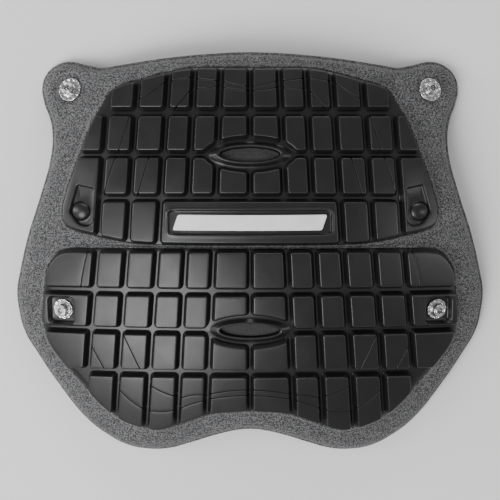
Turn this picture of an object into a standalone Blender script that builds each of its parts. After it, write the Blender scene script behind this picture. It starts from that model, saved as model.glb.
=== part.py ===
# Chest protector: a curved foam pad with two moulded plates of raised blocks, vent meshes and snap studs.
# Sizes are in metres. X runs across the chest, Y from the belly to the neck and Z away from the chest.
# Every piece is drawn flat, with its height n above the pad's face, and is then laid onto the dome.

import math
from collections import namedtuple

import bmesh
import bpy
import numpy as np
from mathutils import Matrix, Vector

MM = 0.001
FIT_GAP = 0.3 * MM  # clearance between pieces that touch

# Dome that the whole protector follows
RADIUS_ACROSS = 330 * MM
RADIUS_ALONG = 310 * MM
APEX_Y = 13 * MM
FACET = 17 * MM  # longest step of a flat facet along the dome
WIDE_STEPS = 1.6  # a level face longer than this many steps is split
WIDE_FILL = 0.2  # and fills at least this share of the box around it

# How finely curves are cut into facets, and how close points are welded
OUTLINE_STEPS = 2  # for each span between two knots of an outline
ROW_STEPS = 10
CORNER_STEPS = 3
VENT_FACETS = 24
DOME_FACETS = (16, 8)
STUD_STEPS = 16
WELD = 0.001 * MM
LEVEL_SHARE = 0.99  # a face is level if its normal points up or down by more than this share
SHARP_ANGLE = math.radians(30)

# Foam pad
PAD_HALF_WIDTH = 153.5 * MM
PAD_TOP = 130.6 * MM
PAD_BOTTOM = -133 * MM
PAD_THICKNESS = 8 * MM
PAD_EDGE_WIDTH = 7.8 * MM

# Upper and lower plate, measured in from the pad's sides and ends
UPPER_SIDE_MARGIN = 36.8 * MM
UPPER_TOP_MARGIN = 12.4 * MM
LOWER_SIDE_MARGIN = 21.7 * MM
LOWER_BOTTOM_MARGIN = 21.2 * MM
SEAM_Y = 9.25 * MM  # middle of the strip of foam between the plates
SEAM_WIDTH = 1.9 * MM
PLATE_FLOOR = 1.5 * MM
PLATE_RIM = 0.9 * MM  # upright foot of the plate's border
BLOCK_HEIGHT = 4.5 * MM
BORDER_DRAFT = 1.9 * MM  # how far the border leans in

# Grooves between the blocks
GROOVE_WIDTH = 5.2 * MM  # at the block tops
GROOVE_FLOOR_WIDTH = 1.2 * MM
CUT_CLEARANCE = 1 * MM  # how far a cutter passes the surface it cuts
CUT_OVERRUN = 5 * MM  # how far a groove's cutter runs past the plate's edge

# Raised panel and its white inlay
RECESS_LENGTH = 99 * MM
RECESS_HEIGHT = 15.4 * MM
RECESS_DEPTH = 1.4 * MM
RECESS_CORNER = 2.5 * MM
RECESS_ABOVE_PLATE_EDGE = 5.8 * MM
INLAY_MARGIN = 3 * MM
INLAY_THICKNESS = 1.3 * MM
INLAY_CORNER = 1.2 * MM
INLAY_SLANT = 3.2 * MM

# Vents
VENT_POCKET = (28.3 * MM, 11.2 * MM)  # half axes at the block tops
VENT_POCKET_DRAFT = 2.4 * MM
VENT_LIP = (24 * MM, 6.9 * MM)  # half axes at the foot of the raised lip
VENT_HOLE = (18.4 * MM, 4.5 * MM)
VENT_LIP_WALL = 0.9 * MM
VENT_LIP_HEIGHT = 2 * MM
VENT_MESH_THICKNESS = 0.8 * MM

# Moulded dome in its pocket, on the outer blocks of the upper plate
DOME_RADIUS = 5.6 * MM
DOME_HEIGHT = 3 * MM
DOME_POCKET_MARGIN = 1.2 * MM
DOME_POCKET_LENGTH = 26.5 * MM
DOME_POCKET_DEPTH = 2.4 * MM
DOME_POCKET_CORNER = 4 * MM
DOME_POCKET_LEAN = 0.1  # how far the pocket leans inwards for each unit of its length
DOME_FROM_SIDE = 13 * MM
DOME_ABOVE_PLATE_EDGE = 19.6 * MM

# Snap studs
STUD_POCKET = (17.6 * MM, 18 * MM)
STUD_POCKET_CORNER = 3.4 * MM
STUD_POCKET_FROM_SIDE = 14.4 * MM
STUD_POCKET_BELOW_SEAM = 41.8 * MM
EAR_STUD_FROM_SIDE = 40 * MM
EAR_STUD_FROM_TOP = 25.6 * MM
EAR_FLANGE_RADIUS = 7.5 * MM
POCKET_FLANGE_RADIUS = 6.7 * MM
FLANGE_THICKNESS = 1 * MM
EAR_DIMPLE_DEPTH = 1 * MM
EAR_DIMPLE_MARGIN = 1 * MM
POST_RADIUS = 4 * MM
POST_WAIST_RADIUS = 3.4 * MM
POST_HEIGHT = 4.4 * MM
POST_BORE_RADIUS = 1.7 * MM
POST_BORE_CHAMFER = 0.3 * MM

Knot = namedtuple("Knot", "across along")  # shares of the half width and of the length from bottom to top
EdgeRow = namedtuple("EdgeRow", "inset rise")  # shares of the edge width and of the thickness
Column = namedtuple("Column", "seam drift_up drift_down")  # place at the seam, and slopes above and below
Row = namedtuple("Row", "along bow")  # share of the plate's length, and how far its ends drop
PostRow = namedtuple("PostRow", "inset drop")  # from the post's radius, and from its tip
FlangeRow = namedtuple("FlangeRow", "inset rise")  # from the flange's radius, and share of its thickness
Finish = namedtuple("Finish", "colour roughness metallic")

PAD_OUTLINE = (
    Knot(0.000, 1.000), Knot(0.176, 0.996), Knot(0.378, 0.984), Knot(0.547, 0.969), Knot(0.620, 0.963),
    Knot(0.684, 0.969), Knot(0.766, 0.977), Knot(0.827, 0.966), Knot(0.868, 0.943), Knot(0.881, 0.914),
    Knot(0.870, 0.876), Knot(0.842, 0.835), Knot(0.832, 0.797), Knot(0.840, 0.740), Knot(0.879, 0.660),
    Knot(0.944, 0.549), Knot(0.986, 0.455), Knot(1.000, 0.414), Knot(0.996, 0.364), Knot(0.974, 0.305),
    Knot(0.919, 0.248), Knot(0.830, 0.168), Knot(0.710, 0.076), Knot(0.625, 0.036), Knot(0.534, 0.008),
    Knot(0.450, 0.000), Knot(0.358, 0.004), Knot(0.254, 0.024), Knot(0.149, 0.047), Knot(0.052, 0.062),
    Knot(0.000, 0.064),
)
UPPER_OUTLINE = (
    Knot(0.000, 0.998), Knot(0.171, 1.000), Knot(0.308, 0.997), Knot(0.428, 0.975), Knot(0.580, 0.931),
    Knot(0.686, 0.898), Knot(0.741, 0.861), Knot(0.786, 0.786), Knot(0.851, 0.660), Knot(0.906, 0.504),
    Knot(0.949, 0.382), Knot(0.981, 0.281), Knot(1.000, 0.193), Knot(0.996, 0.128), Knot(0.973, 0.091),
    Knot(0.930, 0.070), Knot(0.854, 0.053), Knot(0.733, 0.025), Knot(0.603, 0.006), Knot(0.480, 0.001),
    Knot(0.240, 0.000), Knot(0.000, 0.001),
)
LOWER_OUTLINE = (
    Knot(0.000, 1.000), Knot(0.432, 0.996), Knot(0.759, 0.986), Knot(0.842, 0.983), Knot(0.897, 0.967),
    Knot(0.938, 0.924), Knot(0.968, 0.866), Knot(0.980, 0.789), Knot(0.993, 0.698), Knot(1.000, 0.607),
    Knot(0.989, 0.545), Knot(0.972, 0.475), Knot(0.907, 0.369), Knot(0.797, 0.224), Knot(0.722, 0.131),
    Knot(0.649, 0.065), Knot(0.566, 0.023), Knot(0.495, 0.003), Knot(0.436, 0.000), Knot(0.376, 0.019),
    Knot(0.282, 0.062), Knot(0.189, 0.100), Knot(0.089, 0.116), Knot(0.000, 0.120),
)
PAD_EDGE = (
    EdgeRow(0.00, 0.18), EdgeRow(0.23, 0.04), EdgeRow(0.12, 0.32), EdgeRow(0.22, 0.26), EdgeRow(0.43, 0.20),
)
# Shares of the lower plate's half width, since the same lines run through both plates
COLUMNS = (
    Column(0.166, 0.040, 0.049), Column(0.294, 0.049, 0.064), Column(0.425, 0.064, 0.086),
    Column(0.568, 0.067, 0.097), Column(0.709, 0.075, 0.112),
)
PANEL_COLUMNS = 2  # how many of the columns on each side end at the raised panel
UPPER_ROWS = (Row(0.744, 0.4 * MM), Row(0.511, 0.8 * MM), Row(0.271, 1.3 * MM))
LOWER_ROWS = (Row(0.782, 1.1 * MM), Row(0.575, 1.1 * MM), Row(0.347, 1.7 * MM))
VENT_ROW = 1  # the row line of each plate that the vent sits on
POST_ROWS = (PostRow(0.9 * MM, 0), PostRow(0, 1.1 * MM), PostRow(POST_RADIUS - POST_WAIST_RADIUS, 2.4 * MM))
FLANGE_ROWS = (FlangeRow(1.1 * MM, 0.8), FlangeRow(0.3 * MM, 1.0), FlangeRow(0, 0.6), FlangeRow(0, 0))

FABRIC = Finish((0.09, 0.09, 0.095), 0.9, 0.0)
PLASTIC = Finish((0.02, 0.02, 0.021), 0.35, 0.0)
WEAVE = Finish((0.03, 0.03, 0.03), 0.6, 0.0)
WHITE = Finish((0.82, 0.82, 0.83), 0.45, 0.0)
STEEL = Finish((0.45, 0.45, 0.46), 0.25, 1.0)

# Heights above the pad's face
UNDERSIDE = FIT_GAP
FLOOR = UNDERSIDE + PLATE_FLOOR
ROOT = FLOOR - PLATE_FLOOR / 2  # foot of what stands on the plate's floor, sunk half way into it
BLOCK_TOP = FLOOR + BLOCK_HEIGHT

UPPER_HALF_WIDTH = PAD_HALF_WIDTH - UPPER_SIDE_MARGIN
UPPER_TOP = PAD_TOP - UPPER_TOP_MARGIN
UPPER_BOTTOM = SEAM_Y + SEAM_WIDTH / 2
LOWER_HALF_WIDTH = PAD_HALF_WIDTH - LOWER_SIDE_MARGIN
LOWER_TOP = SEAM_Y - SEAM_WIDTH / 2
LOWER_BOTTOM = PAD_BOTTOM + LOWER_BOTTOM_MARGIN


def dome_point(points):
    """Lays flat points (x, y, n) onto the dome: its point at x, y, moved out along its normal by n."""
    x, y, n = points[:, 0], points[:, 1], points[:, 2]
    slope_x = x / RADIUS_ACROSS
    slope_y = (y - APEX_Y) / RADIUS_ALONG
    z = -x * slope_x / 2 - (y - APEX_Y) * slope_y / 2
    normal = np.stack([slope_x, slope_y, np.ones_like(x)], axis=1)
    normal /= np.linalg.norm(normal, axis=1)[:, None]
    return np.stack([x, y, z], axis=1) + normal * n[:, None]


def plan_knots(outline, half_width, low, high):
    """Turns the shares of half an outline into the flat points of the whole outline, mirrored about X = 0."""
    half = [(knot.across * half_width, low + knot.along * (high - low)) for knot in outline]
    return half + [(-x, y) for x, y in reversed(half[1:-1])]


def outline_body(points, level):
    """A bmesh with one flat face inside a smooth closed curve through the points."""
    curve = bpy.data.curves.new("outline", "CURVE")
    curve.dimensions = "2D"
    curve.fill_mode = "NONE"
    curve.resolution_u = OUTLINE_STEPS
    spline = curve.splines.new("BEZIER")
    spline.bezier_points.add(len(points) - 1)
    spline.use_cyclic_u = True
    for knot, (x, y) in zip(spline.bezier_points, points):
        knot.co = (x, y, 0)
        knot.handle_left_type = "AUTO"
        knot.handle_right_type = "AUTO"
    holder = bpy.data.objects.new("outline", curve)
    mesh = evaluated_mesh(holder)
    bpy.data.curves.remove(curve)
    body = bmesh.new()
    body.from_mesh(mesh)
    bpy.data.meshes.remove(mesh)
    bmesh.ops.contextual_create(body, geom=body.edges[:])
    face = body.faces[:][0]
    if face.normal.z < 0:
        face.normal_flip()
    bmesh.ops.translate(body, verts=body.verts[:], vec=(0, 0, level))
    return body


def evaluated_mesh(holder):
    """The mesh of an object with its modifiers applied. The object itself is removed."""
    bpy.context.scene.collection.objects.link(holder)
    evaluated = holder.evaluated_get(bpy.context.evaluated_depsgraph_get())
    mesh = bpy.data.meshes.new_from_object(evaluated)
    bpy.data.objects.remove(holder)
    return mesh


def face_outwards(body):
    body.normal_update()
    bmesh.ops.recalc_face_normals(body, faces=body.faces[:])


def extrude_up(body, rise):
    """Extrudes the whole flat face of a body straight up and returns the new top face."""
    grown = bmesh.ops.extrude_face_region(body, geom=body.faces[:])
    moved = [item for item in grown["geom"] if isinstance(item, bmesh.types.BMVert)]
    bmesh.ops.translate(body, verts=moved, vec=(0, 0, rise))
    return next(item for item in grown["geom"] if isinstance(item, bmesh.types.BMFace))


def rounded_slab(points, level, rows):
    """A closed slab on an outline. Each row of (inset, rise) carries its edge further in and up."""
    body = outline_body(points, level)
    top = extrude_up(body, rows[0][1])
    for inset, rise in rows[1:]:
        bmesh.ops.inset_region(body, faces=[top], thickness=inset, depth=rise, use_even_offset=True)
    face_outwards(body)
    return body


def split_faces(body, faces, normal, positions):
    """Cuts the given faces along planes that stand across a direction."""
    for position in positions:
        geometry = set(faces)
        for face in faces:
            geometry.update(face.edges)
            geometry.update(face.verts)
        cut = bmesh.ops.bisect_plane(
            body, geom=list(geometry), dist=WELD / 10, plane_co=Vector(normal) * position, plane_no=normal
        )
        faces = [item for item in cut["geom"] if isinstance(item, bmesh.types.BMFace)]
    return faces


def split_wide_faces(body):
    """Splits each wide level face into steps, so that it follows the dome. Lattices of groove floor are left."""
    for face in [face for face in body.faces if abs(face.normal.z) > LEVEL_SHARE]:
        spans = []
        sizes = []
        for axis in (0, 1):
            low = min(vert.co[axis] for vert in face.verts)
            high = max(vert.co[axis] for vert in face.verts)
            count = max(1, math.ceil((high - low) / FACET))
            spans.append([low + (high - low) * step / count for step in range(1, count)])
            sizes.append(high - low)
        if max(sizes) < WIDE_STEPS * FACET or face.calc_area() < WIDE_FILL * sizes[0] * sizes[1]:
            continue
        halves = split_faces(body, [face], (1, 0, 0), spans[0])
        split_faces(body, halves, (0, 1, 0), spans[1])


def lay_on_dome(body, rest):
    """Lays a flat body onto the dome and moves it to where the whole protector rests."""
    split_wide_faces(body)
    bmesh.ops.remove_doubles(body, verts=body.verts[:], dist=WELD)
    bmesh.ops.triangulate(body, faces=body.faces[:])
    flat = np.array([vert.co[:] for vert in body.verts])
    for vert, place in zip(body.verts, dome_point(flat) + rest):
        vert.co = place
    face_outwards(body)


def finish_mesh(body, name):
    mesh = bpy.data.meshes.new(name)
    body.to_mesh(mesh)
    body.free()
    return mesh


def make_material(name, finish):
    material = bpy.data.materials.new(name)
    material.use_nodes = True
    shader = material.node_tree.nodes["Principled BSDF"]
    shader.inputs["Base Color"].default_value = (*finish.colour, 1)
    shader.inputs["Roughness"].default_value = finish.roughness
    shader.inputs["Metallic"].default_value = finish.metallic
    return material


def add_piece(name, mesh, collection, material):
    piece = bpy.data.objects.new(name, mesh)
    mesh.materials.append(material)
    collection.objects.link(piece)
    return piece


def cut_with(body, operation, cutters):
    """Applies the cutters, each a closed bmesh, to a body with exact Booleans and returns the result."""
    holder = bpy.data.objects.new("blank", finish_mesh(body, "blank"))
    tools = []
    for number, cutter in enumerate(cutters):
        tool = bpy.data.objects.new(f"cutter_{number}", finish_mesh(cutter, f"cutter_{number}"))
        tool.hide_render = True
        tool.display_type = "WIRE"
        bpy.context.scene.collection.objects.link(tool)
        tools.append(tool)
        step = holder.modifiers.new(tool.name, "BOOLEAN")
        step.operation = operation
        step.solver = "EXACT"
        step.object = tool
    result = bmesh.new()
    mesh = evaluated_mesh(holder)
    result.from_mesh(mesh)
    bpy.data.meshes.remove(mesh)
    for tool in tools:
        bpy.data.objects.remove(tool)
    return result


def groove_cutter(path, floor_width, top_width, floor, top):
    """A bar along a path of flat points, narrow at the groove's floor and wide at the top."""
    strip = bmesh.new()
    bmesh.ops.create_grid(strip, x_segments=len(path) - 1, y_segments=1, size=1)
    order = sorted({round(vert.co.x, 6) for vert in strip.verts})
    extrude_up(strip, 1)
    for vert in strip.verts:
        step = min(range(len(order)), key=lambda index: abs(order[index] - vert.co.x))
        before = Vector(path[max(step - 1, 0)])
        after = Vector(path[min(step + 1, len(path) - 1)])
        side = (after - before).normalized().orthogonal() * math.copysign(1, vert.co.y)
        width = floor_width if vert.co.z < 0.5 else top_width
        height = floor if vert.co.z < 0.5 else top
        place = Vector(path[step]) + side * (width / 2)
        vert.co = (place.x, place.y, height)
    face_outwards(strip)
    return strip


def groove(path):
    """A groove cutter that runs from the plate's floor to above the block tops."""
    lean = (GROOVE_WIDTH - GROOVE_FLOOR_WIDTH) / BLOCK_HEIGHT
    top_width = GROOVE_WIDTH + lean * CUT_CLEARANCE
    return groove_cutter(path, GROOVE_FLOOR_WIDTH, top_width, FLOOR, BLOCK_TOP + CUT_CLEARANCE)


def column_x(column, y):
    """Place of a column line at a height y on the plan. The lines fan out towards the belly."""
    slope = column.drift_up if y > SEAM_Y else column.drift_down
    return column.seam * LOWER_HALF_WIDTH - slope * (y - SEAM_Y)


def row_y(row, x, low, high):
    """Height of a row line at x: its ends drop by its bow at the pad's outermost column."""
    reach = COLUMNS[-1].seam * LOWER_HALF_WIDTH
    return low + row.along * (high - low) - row.bow * (x / reach) ** 2


def column_grooves(low, high):
    """The centre groove and the fanned grooves on both sides, between two heights."""
    yield groove([(0, low), (0, high)])
    for column in COLUMNS:
        for side in (1, -1):
            yield groove([(side * column_x(column, low), low), (side * column_x(column, high), high)])


def row_groove(row, low, high, half_width):
    xs = [half_width * (2 * step / ROW_STEPS - 1) for step in range(ROW_STEPS + 1)]
    return groove([(x, row_y(row, x, low, high)) for x in xs])


def ring_prism(ring_low, ring_high, centre, low, high):
    """A closed elliptic prism whose half axes go from one pair at the bottom to another at the top."""
    prism = bmesh.new()
    bmesh.ops.create_cone(prism, cap_ends=True, segments=VENT_FACETS, radius1=1, radius2=1, depth=2)
    for vert in prism.verts:
        half_x, half_y = ring_high if vert.co.z > 0 else ring_low
        height = high if vert.co.z > 0 else low
        vert.co = (centre[0] + vert.co.x * half_x, centre[1] + vert.co.y * half_y, height)
    return prism


def grown(ring, margin):
    return (ring[0] + margin, ring[1] + margin)


def box_prism(size, centre, low, high, corner=0.0):
    """An upright box, with its upright edges rounded if a corner radius is given."""
    box = bmesh.new()
    bmesh.ops.create_cube(box, size=1)
    bmesh.ops.scale(box, vec=(size[0], size[1], high - low), verts=box.verts[:])
    bmesh.ops.translate(box, vec=(centre[0], centre[1], (low + high) / 2), verts=box.verts[:])
    if corner:
        upright = [edge for edge in box.edges if abs(edge.verts[0].co.z - edge.verts[1].co.z) > WELD]
        bmesh.ops.bevel(box, geom=upright, offset=corner, segments=CORNER_STEPS, profile=0.5, affect="EDGES")
    return box


def vent_centre(rows, low, high):
    return (0, row_y(rows[VENT_ROW], 0, low, high))


def plate_blank(outline, half_width, low, high):
    """The plate before its grooves: an upright rim, then a border that leans in up to the block tops."""
    rows = ((0, PLATE_RIM), (BORDER_DRAFT, BLOCK_TOP - UNDERSIDE - PLATE_RIM))
    return rounded_slab(plan_knots(outline, half_width, low, high), UNDERSIDE, rows)


def vent_pocket(centre):
    """Cutter of the lens-shaped pocket between the blocks around a vent."""
    lean = VENT_POCKET_DRAFT / BLOCK_HEIGHT
    return ring_prism(
        grown(VENT_POCKET, -VENT_POCKET_DRAFT), grown(VENT_POCKET, lean * CUT_CLEARANCE),
        centre, FLOOR, BLOCK_TOP + CUT_CLEARANCE,
    )


def vent_lip(centre):
    return ring_prism(VENT_LIP, grown(VENT_HOLE, VENT_LIP_WALL), centre, ROOT, FLOOR + VENT_LIP_HEIGHT)


def vent_hole(centre):
    return ring_prism(VENT_HOLE, VENT_HOLE, centre, UNDERSIDE - CUT_CLEARANCE, BLOCK_TOP)


def dome_place():
    return (UPPER_HALF_WIDTH - DOME_FROM_SIDE, UPPER_BOTTOM + DOME_ABOVE_PLATE_EDGE)


def dome_pocket(side):
    """The pocket around a moulded dome: a rounded box that leans with the plate's side."""
    x, y = dome_place()
    reach = DOME_RADIUS + DOME_POCKET_MARGIN
    pocket = box_prism((2 * reach, DOME_POCKET_LENGTH), (0, 0), BLOCK_TOP - DOME_POCKET_DEPTH,
                       BLOCK_TOP + CUT_CLEARANCE, corner=DOME_POCKET_CORNER)
    for vert in pocket.verts:
        vert.co.x = side * (x + vert.co.x - DOME_POCKET_LEAN * vert.co.y)
        vert.co.y = y + vert.co.y + reach
    face_outwards(pocket)
    return pocket


def moulded_dome(side):
    x, y = dome_place()
    dome = bmesh.new()
    bmesh.ops.create_uvsphere(dome, u_segments=DOME_FACETS[0], v_segments=DOME_FACETS[1], radius=1)
    floor = BLOCK_TOP - DOME_POCKET_DEPTH
    bmesh.ops.scale(dome, vec=(DOME_RADIUS, DOME_RADIUS, DOME_HEIGHT), verts=dome.verts[:])
    for vert in dome.verts:
        vert.co = (side * x + vert.co.x, y + vert.co.y, max(vert.co.z, ROOT - FLOOR) + floor)
    bmesh.ops.remove_doubles(dome, verts=dome.verts[:], dist=WELD)
    return dome


def recess_place():
    return (0, UPPER_BOTTOM + RECESS_ABOVE_PLATE_EDGE + RECESS_HEIGHT / 2)


def bare_corner(side, row_line, end):
    """Cutter of the small corner outside the last column, between a row line and the plate's end."""
    edge = column_x(COLUMNS[-1], row_line) - GROOVE_WIDTH / 2
    size = (LOWER_HALF_WIDTH / 2, abs(end - row_line))
    centre = (side * (edge + size[0] / 2), (row_line + end) / 2)
    return box_prism(size, centre, FLOOR, BLOCK_TOP + CUT_CLEARANCE)


def upper_plate_body():
    """The upper plate, flat: grooves, vent, raised panel with its recess, and two domes in pockets."""
    body = plate_blank(UPPER_OUTLINE, UPPER_HALF_WIDTH, UPPER_BOTTOM, UPPER_TOP)
    panel_top = row_y(UPPER_ROWS[-1], 0, UPPER_BOTTOM, UPPER_TOP)
    past_side = UPPER_HALF_WIDTH + CUT_OVERRUN
    past_top = UPPER_TOP + CUT_OVERRUN
    reach = [past_side, past_side, column_x(COLUMNS[-1], panel_top)]
    cutters = [
        row_groove(row, UPPER_BOTTOM, UPPER_TOP, half_width) for row, half_width in zip(UPPER_ROWS, reach)
    ]
    first_row = row_y(UPPER_ROWS[0], UPPER_HALF_WIDTH, UPPER_BOTTOM, UPPER_TOP)
    cutters += [bare_corner(side, first_row, past_top) for side in (1, -1)]
    cutters.append(groove([(0, panel_top), (0, past_top)]))
    for number, column in enumerate(COLUMNS):
        low = panel_top if number < PANEL_COLUMNS else UPPER_BOTTOM - CUT_OVERRUN
        ends = (column_x(column, low), low), (column_x(column, past_top), past_top)
        for side in (1, -1):
            cutters.append(groove([(side * x, y) for x, y in ends]))
    vent = vent_centre(UPPER_ROWS, UPPER_BOTTOM, UPPER_TOP)
    cutters.append(vent_pocket(vent))
    cutters.append(box_prism((RECESS_LENGTH, RECESS_HEIGHT), recess_place(), BLOCK_TOP - RECESS_DEPTH,
                             BLOCK_TOP + CUT_CLEARANCE, corner=RECESS_CORNER))
    cutters += [dome_pocket(side) for side in (1, -1)]
    body = cut_with(body, "DIFFERENCE", cutters)
    body = cut_with(body, "UNION", [vent_lip(vent), moulded_dome(1), moulded_dome(-1)])
    return cut_with(body, "DIFFERENCE", [vent_hole(vent)])


def stud_pocket_centre(side):
    return (side * (LOWER_HALF_WIDTH - STUD_POCKET_FROM_SIDE), SEAM_Y - STUD_POCKET_BELOW_SEAM)


def lower_plate_body():
    """The lower plate, flat: grooves, vent and two pockets for studs."""
    body = plate_blank(LOWER_OUTLINE, LOWER_HALF_WIDTH, LOWER_BOTTOM, LOWER_TOP)
    past_side = LOWER_HALF_WIDTH + CUT_OVERRUN
    past_bottom = LOWER_BOTTOM - CUT_OVERRUN
    cutters = [row_groove(row, LOWER_BOTTOM, LOWER_TOP, past_side) for row in LOWER_ROWS]
    cutters += list(column_grooves(past_bottom, LOWER_TOP))
    last_row = row_y(LOWER_ROWS[-1], LOWER_HALF_WIDTH, LOWER_BOTTOM, LOWER_TOP)
    cutters += [bare_corner(side, last_row, past_bottom) for side in (1, -1)]
    vent = vent_centre(LOWER_ROWS, LOWER_BOTTOM, LOWER_TOP)
    cutters.append(vent_pocket(vent))
    for side in (1, -1):
        cutters.append(box_prism(STUD_POCKET, stud_pocket_centre(side), FLOOR, BLOCK_TOP + CUT_CLEARANCE,
                                 corner=STUD_POCKET_CORNER))
    body = cut_with(body, "DIFFERENCE", cutters)
    body = cut_with(body, "UNION", [vent_lip(vent)])
    return cut_with(body, "DIFFERENCE", [vent_hole(vent)])


def ear_stud_place(side):
    return (side * (PAD_HALF_WIDTH - EAR_STUD_FROM_SIDE), PAD_TOP - EAR_STUD_FROM_TOP)


def pad_body():
    """The foam pad, flat: a thin rim, a rounded edge and a shallow dimple under each ear stud."""
    rows = [(row.inset * PAD_EDGE_WIDTH, row.rise * PAD_THICKNESS) for row in PAD_EDGE]
    knots = plan_knots(PAD_OUTLINE, PAD_HALF_WIDTH, PAD_BOTTOM, PAD_TOP)
    body = rounded_slab(knots, -PAD_THICKNESS, rows)
    radius = EAR_FLANGE_RADIUS + EAR_DIMPLE_MARGIN
    dimples = [
        ring_prism((radius, radius), (radius, radius), ear_stud_place(side), -EAR_DIMPLE_DEPTH, CUT_CLEARANCE)
        for side in (1, -1)
    ]
    return cut_with(body, "DIFFERENCE", dimples)


def vent_mesh_body(centre):
    seat = grown(VENT_HOLE, -FIT_GAP)
    return ring_prism(seat, seat, centre, UNDERSIDE, UNDERSIDE + VENT_MESH_THICKNESS)


def inlay_body():
    """The white strip in the panel's recess, with slanted ends."""
    low = BLOCK_TOP - RECESS_DEPTH + FIT_GAP
    height = RECESS_HEIGHT - 2 * INLAY_MARGIN
    length = RECESS_LENGTH - 2 * INLAY_MARGIN - INLAY_SLANT
    centre = recess_place()
    strip = box_prism((length, height), centre, low, low + INLAY_THICKNESS, corner=INLAY_CORNER)
    for vert in strip.verts:
        vert.co.x += INLAY_SLANT * (vert.co.y - centre[1]) / height
    return strip


def stud_mesh(name, flange_radius):
    """A turned snap stud: a dished flange and a hollow post. Its profile goes up the bore and down outside."""
    top = FLANGE_THICKNESS + POST_HEIGHT
    bore = (
        (0, FLANGE_THICKNESS),
        (POST_BORE_RADIUS, FLANGE_THICKNESS),
        (POST_BORE_RADIUS, top - POST_BORE_CHAMFER),
        (POST_BORE_RADIUS + POST_BORE_CHAMFER, top),
    )
    post = [(POST_RADIUS - row.inset, top - row.drop) for row in POST_ROWS]
    post.append((POST_WAIST_RADIUS, FLANGE_THICKNESS))
    flange = [(flange_radius - row.inset, FLANGE_THICKNESS * row.rise) for row in FLANGE_ROWS]
    profile = (*bore, *post, *flange, (0, 0))
    mesh = bpy.data.meshes.new(name)
    mesh.from_pydata([(x, 0, z) for x, z in profile], [(i, i + 1) for i in range(len(profile) - 1)], [])
    holder = bpy.data.objects.new(name, mesh)
    turn = holder.modifiers.new("turn", "SCREW")
    turn.steps = STUD_STEPS
    turn.render_steps = STUD_STEPS
    turn.use_merge_vertices = True
    turn.merge_threshold = WELD
    turned = evaluated_mesh(holder)
    bpy.data.meshes.remove(mesh)
    body = bmesh.new()
    body.from_mesh(turned)
    bpy.data.meshes.remove(turned)
    bmesh.ops.remove_doubles(body, verts=body.verts[:], dist=WELD)
    face_outwards(body)
    mesh = finish_mesh(body, name)
    mesh.shade_smooth()
    mesh.set_sharp_from_angle(angle=SHARP_ANGLE)
    return mesh


def stand_on_dome(piece, place, height, rest):
    """Stands a piece along the dome's normal at a flat place, with its foot at a height above the pad."""
    x, y = place
    foot, tip = dome_point(np.array([(x, y, height), (x, y, height + 1)]))
    normal = Vector(tip - foot)
    across = Vector((1, 0, 0))
    across = (across - normal * across.dot(normal)).normalized()
    along = normal.cross(across)
    turn = Matrix((across, along, normal)).transposed()
    piece.matrix_world = Matrix.Translation(Vector(foot + rest)) @ turn.to_4x4()


def build():
    for old in list(bpy.data.objects):
        bpy.data.objects.remove(old)
    collection = bpy.data.collections.new("Chest protector")
    bpy.context.scene.collection.children.link(collection)

    fabric = make_material("foam_fabric", FABRIC)
    plastic = make_material("black_plastic", PLASTIC)
    weave = make_material("vent_weave", WEAVE)
    white = make_material("white_inlay", WHITE)
    steel = make_material("stud_metal", STEEL)

    pad = pad_body()
    split_wide_faces(pad)
    flat = np.array([vert.co[:] for vert in pad.verts])
    shaped = dome_point(flat)
    low, high = shaped.min(axis=0), shaped.max(axis=0)
    rest = np.array([-(low[0] + high[0]) / 2, -(low[1] + high[1]) / 2, -low[2]])
    lay_on_dome(pad, rest)
    add_piece("foam_pad", finish_mesh(pad, "foam_pad"), collection, fabric)

    plates = (
        ("upper", upper_plate_body(), UPPER_ROWS, UPPER_BOTTOM, UPPER_TOP),
        ("lower", lower_plate_body(), LOWER_ROWS, LOWER_BOTTOM, LOWER_TOP),
    )
    for name, body, rows, bottom, top in plates:
        lay_on_dome(body, rest)
        add_piece(f"{name}_plate", finish_mesh(body, f"{name}_plate"), collection, plastic)
        mesh_body = vent_mesh_body(vent_centre(rows, bottom, top))
        lay_on_dome(mesh_body, rest)
        add_piece(f"vent_mesh_{name}", finish_mesh(mesh_body, f"vent_mesh_{name}"), collection, weave)

    strip = inlay_body()
    lay_on_dome(strip, rest)
    add_piece("panel_inlay", finish_mesh(strip, "panel_inlay"), collection, white)

    for hand, side in (("right", 1), ("left", -1)):
        seats = (
            ("upper", EAR_FLANGE_RADIUS, ear_stud_place(side), FIT_GAP - EAR_DIMPLE_DEPTH),
            ("lower", POCKET_FLANGE_RADIUS, stud_pocket_centre(side), FLOOR + FIT_GAP),
        )
        for row, flange_radius, place, height in seats:
            name = f"snap_{row}_{hand}"
            stud = add_piece(name, stud_mesh(name, flange_radius), collection, steel)
            stand_on_dome(stud, place, height, rest)


build()
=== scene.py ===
import math

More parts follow.
